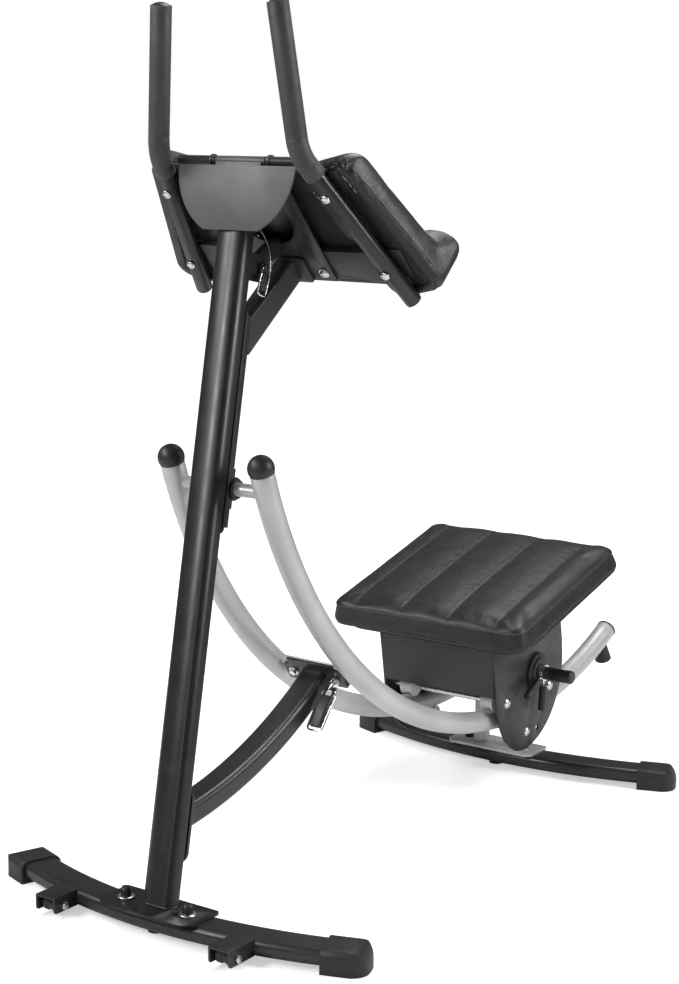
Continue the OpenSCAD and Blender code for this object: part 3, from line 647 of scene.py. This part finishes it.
def channel_depth(x, y):
    """Depth of the soft sewn channels and the small puckers beside their thread."""
    groove = np.zeros(len(x))
    pucker = np.zeros(len(x))
    seam_depth, seam_w = 0.0018, 0.0032
    valley_depth, valley_w = 0.0046, 0.024
    for i, c in enumerate(CHANNELS):
        d = np.abs(x - c)
        groove += seam_depth * np.exp(-(d / seam_w) ** 1.6) + valley_depth * np.exp(-(d / valley_w) ** 2)
        wave = np.sin(y * 2 * math.pi / 0.024 + 3 * i + 2.2 * np.sin(y * 31 + i))
        pucker += 0.00016 * wave * np.exp(-((d - 0.010) / 0.009) ** 2)
    return groove, pucker


def seat_surface(co, no):
    """Crown, channels, folds, the boxing band and sides that pull in between the corners."""
    hw, hl = SEAT_HW, SEAT_HL
    x, y, z = co[:, 0], co[:, 1], co[:, 2]
    up = np.clip((no[:, 2] - 0.25) / 0.5, 0, 1)
    inner = np.clip((hl - np.abs(y)) / 0.045, 0, 1)
    groove, pucker = channel_depth(x, y)
    crown = 0.004 + 0.005 * (1 - (x / hw) ** 2) * (1 - (y / hl) ** 2)
    soft = fractal(co * np.array([1.0, 0.45, 1.0]), 18, 2, 1) * 0.0009
    folds = fractal(co * np.array([1.6, 0.5, 1.0]), 60, 2, 2) * 0.00022
    out = co.copy()
    out[:, 2] += up * (crown - groove * (0.12 + 0.88 * inner) + pucker * inner)
    out += no * (soft + folds)[:, None]
    # boxing band: a pinch at the piping line and a little slack between its seams
    side = np.clip((0.55 - np.abs(no[:, 2])) / 0.4, 0, 1)
    along = np.abs(z - SEAM_Z)
    pinch = -0.0016 * np.exp(-(along / 0.003) ** 2)
    band = np.clip((SEAM_Z - z) / 0.03, 0, 1) * np.clip((z + SEAT_T) / 0.008, 0, 1)
    ripple = fractal(co * np.array([1.0, 1.0, 0.2]), 36, 3, 4) * 0.0013 * band
    belly = 0.0022 * band
    out += no * (side * (pinch + ripple + belly))[:, None]
    pull = 0.0035
    out[:, 0] -= np.sign(x) * side * pull * (1 - (y / hl) ** 2) * (np.abs(x) > 0.8 * hw)
    out[:, 1] -= np.sign(y) * side * pull * (1 - (x / hw) ** 2) * (np.abs(y) > 0.8 * hl)
    out[:, 2] = np.clip(out[:, 2], -SEAT_T - 0.001, 0.012)
    return out


def seat_piping(tree):
    """Piping round the top edge and along the bottom edge, a quarter of its radius proud."""
    bm = bmesh.new()
    top_r, bottom_r, bottom_z = 0.0024, 0.0018, -SEAT_T + 0.004
    corner, outside = 0.036, 0.03
    for z, r in ((SEAM_Z, top_r), (bottom_z, bottom_r)):
        loop = []
        for (px, py, ax, ay) in rounded_outline(SEAT_HW, SEAT_HL, corner, 260):
            start = Vector((px + ax * outside, py + ay * outside, z))
            hit = hang_on(tree, start, Vector((-ax, -ay, 0)), Vector((px, py, z)))
            loop.append(hit + Vector((ax, ay, 0)) * r * 0.25)
        sweep(bm, relaxed(loop, 3), r, 8, closed=True)
    return mesh_of(bm, "seat_piping")


def seat_stitches(tree):
    """A double row of stitches down each channel."""
    bm = bmesh.new()
    margin, stitch, pitch, beside = 0.016, 0.0032, 0.0046, 0.0024
    thread_r, above = 0.00045, 0.05
    down = Vector((0, 0, -1))
    dip, rise = Vector((0, 0, 0.0003)), Vector((0, 0, 0.0006))
    for c in CHANNELS:
        for side in (-1, 1):
            y = -SEAT_HL + margin
            while y < SEAT_HL - margin:
                a = hang_on(tree, Vector((c + side * beside, y, above)), down, None)
                b = hang_on(tree, Vector((c + side * beside, y + stitch, above)), down, None)
                if a is not None and b is not None:
                    sweep(bm, [a - dip, (a + b) / 2 + rise, b - dip], thread_r, 6)
                y += pitch
    return mesh_of(bm, "seat_stitches")


def build_seat():
    """Leather seat cushion with its piping and stitches."""
    top, held = -0.004, -SEAT_T + 0.012
    block = heightfield_block("seat_block", SEAT_HW, -SEAT_HL, SEAT_HL,
                              lambda x, y: top, lambda x, y: -SEAT_T, corner=0.034, edge_r=0.018)
    mesh = cloth_puff(block, "seat", voxel=0.0055, cap=0.006, hold=lambda c: c.z < held)
    stretch_to(mesh, (-SEAT_HW, -SEAT_HL), (SEAT_HW, SEAT_HL))
    reshape(mesh, seat_surface)
    tree = tree_of(mesh)
    pieces = ((mesh, "seat_cushion", LEATHER, ("seat_pad",)),
              (seat_piping(tree), "seat_piping", LEATHER, ()),
              (seat_stitches(tree), "seat_stitches", THREAD, ()))
    for me, name, material, replaced in pieces:
        me.transform(SEAT_M)
        me.polygons.foreach_set("use_smooth", [True] * len(me.polygons))
        new_object(name, me, material, "seat", replaced)


# ---- elbow pads --------------------------------------------------------------------
PAD_BODY_H = BOARD_T + 0.045
LIP_TOP = BOARD_T + 0.086


def smooth_step(a, b, x):
    t = min(1.0, max(0.0, (x - a) / (b - a)))
    return t * t * (3 - 2 * t)


def pad_top(x, y):
    """Height of the elbow pad above its board: slanted nose, level rest, upturned stop at the low end."""
    nose_len, nose_h, dish = 0.046, 0.016, 0.003
    stop_y, stop_curve, stop_run = 0.196, 0.030, 0.032
    end_y, end_len, end_drop = 0.258, 0.024, 0.020
    u = min(1.0, abs(x) / (PAD_W / 2))
    nose = min(1.0, max(0.0, y) / nose_len)
    body = nose_h + (PAD_BODY_H - dish - nose_h) * math.sqrt(max(0.0, 1 - (1 - nose) ** 2)) ** 1.15
    body -= dish * (1 - u * u) * smooth_step(0.05, 0.10, y)
    start = stop_y + stop_curve * u ** 3
    stop = (LIP_TOP - 0.004 - PAD_BODY_H) * smooth_step(start, start + stop_run, y)
    over = max(0.0, y - end_y) / end_len
    return body + stop - end_drop * (1 - math.sqrt(max(0.0, 1 - min(1.0, over) ** 2)))


def pad_surface(side):
    """Soft waves, tucks at the elbow stop and pleats where the leather turns under the board."""
    def shape(co, no):
        x, y, z = co[:, 0], co[:, 1], co[:, 2]
        out = co.copy()
        soft = fractal(co, 20, 2, 5 + side) * 0.0006
        stretch = fractal(co * np.array([0.5, 1.4, 0.5]), 70, 2, 8 + side) * 0.0002
        corner = np.exp(-((y - 0.206) / 0.012) ** 2) * np.clip(no[:, 2] + 0.3, 0, 1)
        tuck = corner * 0.0008 * np.sin(x * 2 * math.pi / 0.017 + 1.3 * side)
        pleat = np.clip((0.020 - z) / 0.020, 0, 1)
        near_end = np.clip((0.07 - y) / 0.05, 0, 1) + 0.12
        around = np.arctan2(x, y - PAD_LEN / 2)
        ripple = 0.0020 * np.sin(around * 46 + 3 * np.sin(around * 9)) * pleat * near_end
        out += no * (soft + stretch + tuck + ripple)[:, None]
        out[:, 0] = np.clip(out[:, 0], -PAD_W / 2 - 0.003, PAD_W / 2 + 0.003)
        out[:, 2] = np.clip(out[:, 2], -0.0008, LIP_TOP + 0.004)
        return out
    return shape


def pad_wrap(name, outline, phases):
    """Leather turned under the board, gathered into pleats at the ends."""
    bm = bmesh.new()
    count = len(outline)
    # inset and height of each ring, from the cushion's side to the trimmed edge of the leather
    steps = ((0.0, 0.004), (0.001, 0.0), (0.005, -0.0012), (0.011, -0.0014), (0.017, -0.0013),
             (0.019, -0.0003), (0.017, 0.0004))
    rings = []
    for k, (inset, z) in enumerate(steps):
        ring = []
        for i, (px, py, ax, ay) in enumerate(outline):
            end = smooth_step(0.6, 1.0, abs(py) / (PAD_LEN / 2))
            wave = math.sin(i * 0.9 + 2 * phases[i - i % 6]) * 0.0011 * end
            trim = inset + (phases[i - i % 3] * 0.0016 if k >= 4 else 0)
            drop = abs(wave) if 2 <= k <= 4 else 0
            ring.append(bm.verts.new((px - ax * trim, PAD_LEN / 2 + py - ay * trim, z - drop)))
        rings.append(ring)
    for a, b in zip(rings, rings[1:]):
        for k in range(count):
            bm.faces.new((a[k], b[k], b[(k + 1) % count], a[(k + 1) % count]))
    return mesh_of(bm, name + "_wrap")


def pad_staples(name, outline, rng):
    """Staples through the turned leather near the upper end."""
    bm = bmesh.new()
    reach, inset, half_len, wire_r = 0.060, 0.014, 0.0046, 0.0004
    legs_up = Vector((0, 0, 0.001))
    for px, py, ax, ay in outline[::4]:
        if py > -PAD_LEN / 2 + reach:
            continue
        c = Vector((px - ax * inset, PAD_LEN / 2 + py - ay * inset, -0.0018))
        twist = rng.uniform(-0.5, 0.5)
        d = (Vector((-ay, ax, 0)) * math.cos(twist) + Vector((ax, ay, 0)) * math.sin(twist)) * half_len
        sweep(bm, [c - d + legs_up, c - d * 0.92, c + d * 0.92, c + d + legs_up], wire_r, 6)
    return mesh_of(bm, name + "_staples")


def pad_seam(name, tree):
    """A seam round the side of the cushion, just above the board."""
    bm = bmesh.new()
    loop = []
    seam_z, seam_r, corner, outside = 0.010, 0.0009, 0.03, 0.03
    for (px, py, ax, ay) in rounded_outline(PAD_W / 2, PAD_LEN / 2, corner, 220):
        y = PAD_LEN / 2 + py
        start = Vector((px + ax * outside, y + ay * outside, seam_z))
        hit = hang_on(tree, start, Vector((-ax, -ay, 0)), Vector((px, y, seam_z)))
        loop.append(hit + Vector((ax, ay, 0)) * 0.0001)
    sweep(bm, relaxed(loop, 4), seam_r, 8, closed=True)
    return mesh_of(bm, name + "_seam")


def build_pad(side):
    """Elbow pad on the right (1) or left (-1) board: cushion, turned leather, staples and seam."""
    name = "pad_right" if side > 0 else "pad_left"
    block = heightfield_block(name + "_block", PAD_W / 2, 0.0, PAD_LEN, pad_top, lambda x, y: 0.0,
                              corner=0.026, edge_r=0.013, nx=40, ny=70)
    mesh = cloth_puff(block, name, voxel=0.005, cap=0.005, hold=lambda c: c.z < 0.008)
    stretch_to(mesh, (-PAD_W / 2, 0.0), (PAD_W / 2, PAD_LEN))
    reshape(mesh, pad_surface(side))
    count = 240
    outline = rounded_outline(PAD_W / 2 - 0.003, PAD_LEN / 2 - 0.004, 0.027, count)
    rng = random.Random(11 + side)
    phases = [rng.uniform(-1, 1) for _ in range(count)]
    pieces = ((mesh, "_cushion", LEATHER, "black_leather", (name,)),
              (pad_wrap(name, outline, phases), "_wrap", LEATHER, "black_leather", ()),
              (pad_staples(name, outline, rng), "_staples", ZINC, "zinc", ()),
              (pad_seam(name, tree_of(mesh)), "_seam", LEATHER, "black_leather", ()))
    place = PAD_M if side > 0 else MIRROR_X @ PAD_M
    for me, ending, material, slot_name, replaced in pieces:
        me.transform(place)
        if side < 0:
            me.flip_normals()
        me.polygons.foreach_set("use_smooth", [True] * len(me.polygons))
        new_object(name + ending, me, material, "arm_head", replaced)


def build_centre_pad():
    """Leather covered centre piece that joins the two backing panels above the yoke opening."""
    thick = 0.016
    block = heightfield_block("centre_block", CENTRE_HW, CENTRE_Y0, CENTRE_Y1,
                              lambda x, y: thick, lambda x, y: 0.0,
                              corner=0.030, edge_r=0.007, nx=40, ny=50)
    mesh = cloth_puff(block, "centre", voxel=0.0045, cap=0.004, hold=lambda c: c.z < 0.004)

    def shape(co, no):
        soft = fractal(co, 26, 2, 21) * 0.0008
        fold = fractal(co * np.array([1.5, 0.6, 1.0]), 70, 2, 23) * 0.0004
        return co + no * (soft + fold)[:, None]

    reshape(mesh, shape)
    mesh.transform(ARM_M)
    new_object("centre_pad", mesh, LEATHER, "arm_head")


build_seat()
build_pad(1)
build_pad(-1)
build_centre_pad()


# ---- small hardware ----------------------------------------------------------------
def lathe(profile, sides):
    """Turned shape about the z axis from (radius, height) pairs, closed at both ends."""
    bm = bmesh.new()
    angles = [2 * math.pi * k / sides for k in range(sides)]
    rings = [[bm.verts.new((r * math.cos(a), r * math.sin(a), z)) for a in angles] for r, z in profile]
    for a, b in zip(rings, rings[1:]):
        for k in range(sides):
            bm.faces.new((a[k], a[(k + 1) % sides], b[(k + 1) % sides], b[k]))
    bm.faces.new(rings[0][::-1])
    bm.faces.new(rings[-1])
    return bm


def add_part(bm, part, place):
    """Moves a part to its place and joins it to the mesh being built."""
    bmesh.ops.transform(part, matrix=place, verts=part.verts)
    joined = bpy.data.meshes.new("joined")
    part.to_mesh(joined)
    part.free()
    bm.from_mesh(joined)
    bpy.data.meshes.remove(joined)


def turned(degrees, axis):
    return Matrix.Rotation(math.radians(degrees), 4, axis)


def moved(x, y, z):
    return Matrix.Translation(Vector((x, y, z)))


def build_clip_grips():
    """Black ribbed sleeves on the two wire legs of each spring clip, modelled down the -z axis."""
    clip_x, leg_angles = 0.143, (-4, -62)
    sleeve_r, rib_h, ribs, steps = 0.0071, 0.00025, 12, 72
    ribbed = [(0.0056, -0.0735), (0.0070, -0.0722)]
    for i in range(steps + 1):
        t = i / steps
        ribbed.append((sleeve_r + rib_h * math.cos(t * 2 * ribs * math.pi), -0.071 + 0.044 * t))
    ribbed += [(0.0070, -0.0262), (0.0052, -0.0248)]
    for side, body in ((1, "clip_r"), (-1, "clip_l")):
        bm = bmesh.new()
        for angle in leg_angles:
            add_part(bm, lathe(ribbed, 32), moved(clip_x * side, POST_Y, POST_Z) @ turned(angle, "X"))
        new_object("clip_grips_" + body[-1], mesh_of(bm, "clip_grips"), BLACK_PLASTIC, body)


def bail(half_w, length, radius):
    """U-shaped wire in the xy plane, open at the top, running down -y."""
    r = 0.007
    pts = [(-half_w * 0.6, 0.004, 0), (-half_w, -0.012, 0), (-half_w, -length + r, 0)]
    for k in range(1, 6):
        a = math.pi / 2 * k / 5
        pts.append((-half_w + r * (1 - math.cos(a)), -length + r - r * math.sin(a), 0))
    left = [Vector(p) for p in pts]
    right = [Vector((-p.x, p.y, p.z)) for p in reversed(left)]
    bm = bmesh.new()
    sweep(bm, left + right, radius, 12)
    return bm


def build_bails():
    """Bright wire round the sleeves of both pull pins, and the lanyard of the upper one."""
    lower = mesh_of(bail(0.0150, 0.078, 0.0021), "lower_bail")
    lower.transform(LOCK_M @ moved(0.045, 0, -0.034) @ turned(105, "X"))
    new_object("lower_pin_wire", lower, CHROME, "lock_pin")
    upper = mesh_of(bail(0.0108, 0.043, 0.0016), "upper_bail")
    upper.transform(Matrix.Translation(UPPER_PIN) @ turned(-20, "X") @ moved(0.0325, 0, 0)
                    @ turned(90, "X") @ turned(90, "Y"))
    new_object("upper_pin_wire", upper, CHROME, "head_pin")
    bends = ((0.0330, -0.004, -0.036), (0.0400, -0.002, -0.010), (0.0385, 0.001, 0.022),
             (0.030, -0.002, 0.050), (0.016, -0.008, 0.072))
    bm = bmesh.new()
    sweep(bm, smooth_path([UPPER_PIN + Vector(q) for q in bends], 10), 0.0009, 8)
    new_object("pin_lanyard", mesh_of(bm, "pin_lanyard"), CHROME, "head_pin")


def weld_bead(bm, loop, radius, seed):
    """An uneven fillet of weld metal along a closed path."""
    rng = random.Random(seed)
    radii = [radius * (1 + 0.16 * math.sin(i * 1.9) + 0.12 * rng.uniform(-1, 1)) for i in range(len(loop))]
    sweep(bm, loop, radius, 8, closed=True, radii=radii)


def build_welds():
    """Painted weld round the foot of the upright."""
    bm = bmesh.new()
    foot_y, foot_z = 0.0112, 0.0418
    section = rounded_outline(0.0302, 0.0152, 0.0148, 90)
    foot = [Vector((x, foot_y + y / math.cos(LEAN), foot_z)) for x, y, _, _ in section]
    weld_bead(bm, foot, 0.0021, 3)
    new_object("upright_weld", mesh_of(bm, "upright_weld"), BLACK_PAINT, "frame")


def build_washers():
    """Bright pressed washers round the foot of the bolt caps on the base plate."""
    profile = [(0.0088, 0.0), (0.0128, 0.0), (0.0140, 0.0006), (0.0140, 0.0015), (0.0126, 0.0024),
               (0.0092, 0.0030)]
    bolt_x, plate_top = 0.063, 0.0411
    bm = bmesh.new()
    for side in (-1, 1):
        add_part(bm, lathe(profile, 48), moved(bolt_x * side, 0, plate_top))
    new_object("cap_washers", mesh_of(bm, "cap_washers"), ZINC, "frame")


build_clip_grips()
build_bails()
build_welds()
build_washers()


# ---- stage, lights and camera ------------------------------------------------------
def build_stage():
    """Pale floor; for the camera it glows to pure white between near and far from the machine."""
    near, far, near_glow = 0.9, 2.4, 0.52
    m = Mat("pale_floor")
    m.put("Base Color", (0.90, 0.90, 0.90))
    m.put("Roughness", 0.6)
    m.put("Specular IOR Level", 0.2)
    m.put("Emission Color", (1.0, 1.0, 1.0))
    here = m.nt.nodes.new("ShaderNodeVectorMath")
    here.operation = "DISTANCE"
    spot = m.nt.nodes.new("ShaderNodeNewGeometry")
    m.nt.links.new(spot.outputs["Position"], here.inputs[0])
    here.inputs[1].default_value = (0.0, 0.5, 0.0)
    glow = m.span(here.outputs["Value"], near, far, near_glow, 1.0)
    path = m.nt.nodes.new("ShaderNodeLightPath")
    m.put("Emission Strength", m.calc("MULTIPLY", glow, path.outputs["Is Camera Ray"]))
    bm = bmesh.new()
    bmesh.ops.create_grid(bm, x_segments=2, y_segments=2, size=30)
    floor = bpy.data.objects.new("floor", mesh_of(bm, "floor"))
    floor.location = (0, 0, -0.0005)
    floor.data.materials.append(m.mat)
    bpy.context.scene.collection.objects.link(floor)


def area(name, at, look, size, power, size_y=None):
    """Area light at a place, turned to look at a point; sizes in metres, power in watts."""
    data = bpy.data.lights.new(name, "AREA")
    data.shape = "RECTANGLE"
    data.size, data.size_y = size, size_y or size
    data.energy = power
    o = bpy.data.objects.new(name, data)
    bpy.context.scene.collection.objects.link(o)
    o.location = at
    o.rotation_mode = "QUATERNION"
    o.rotation_quaternion = (Vector(look) - Vector(at)).to_track_quat("-Z", "Y")


def build_world():
    """White to the camera, a dim even light to everything else."""
    world = bpy.data.worlds.new("studio")
    bpy.context.scene.world = world
    world.use_nodes = True
    nt = world.node_tree
    nt.nodes.clear()
    out = nt.nodes.new("ShaderNodeOutputWorld")
    mix = nt.nodes.new("ShaderNodeMixShader")
    path = nt.nodes.new("ShaderNodeLightPath")
    seen = nt.nodes.new("ShaderNodeBackground")
    lit = nt.nodes.new("ShaderNodeBackground")
    seen.inputs[0].default_value = (1, 1, 1, 1)
    seen.inputs[1].default_value = 1.0
    lit.inputs[0].default_value = (1, 1, 1, 1)
    lit.inputs[1].default_value = 0.13
    nt.links.new(path.outputs["Is Camera Ray"], mix.inputs[0])
    nt.links.new(lit.outputs[0], mix.inputs[1])
    nt.links.new(seen.outputs[0], mix.inputs[2])
    nt.links.new(mix.outputs[0], out.inputs[0])


def build_camera():
    """Camera at the front right of the machine, looking a little down, with a small roll."""
    data = bpy.data.cameras.new("photo_camera")
    data.sensor_width = 36
    data.lens = 72.15
    data.shift_x, data.shift_y = 0.0056, 0.0007
    data.clip_end = 100
    cam = bpy.data.objects.new("photo_camera", data)
    bpy.context.scene.collection.objects.link(cam)
    az, down, roll = math.radians(34.8), math.radians(10.28), math.radians(0.6)
    right = Vector((math.cos(az), math.sin(az), 0))
    ahead = Vector((-math.sin(az) * math.cos(down), math.cos(az) * math.cos(down), -math.sin(down)))
    up = right.cross(ahead)
    r = right * math.cos(roll) + up * math.sin(roll)
    u = up * math.cos(roll) - right * math.sin(roll)
    m = Matrix((r, u, -ahead)).transposed().to_4x4()
    m.translation = Vector((1.903, -2.260, 1.239))
    cam.matrix_world = m
    bpy.context.scene.camera = cam


build_stage()
build_world()
area("key_left", (-2.4, -1.4, 3.0), (0, 0.2, 1.1), 1.2, 52)
area("front_soft", (0.8, -4.2, 1.8), (0, 0.3, 0.9), 1.0, 12)
area("key_right", (3.4, 2.0, 2.6), (0, 0.4, 0.7), 1.3, 52)
area("top_soft", (0.0, 1.6, 3.2), (0, 0.5, 0.6), 1.6, 56)
area("strip_left", (-1.3, -2.6, 2.4), (0, 0.2, 1.2), 0.40, 52, 1.0)
area("strip_right", (2.6, 1.2, 1.7), (0, 0.3, 0.9), 0.25, 26, 1.6)
build_camera()
bpy.context.scene.view_settings.view_transform = "Standard"
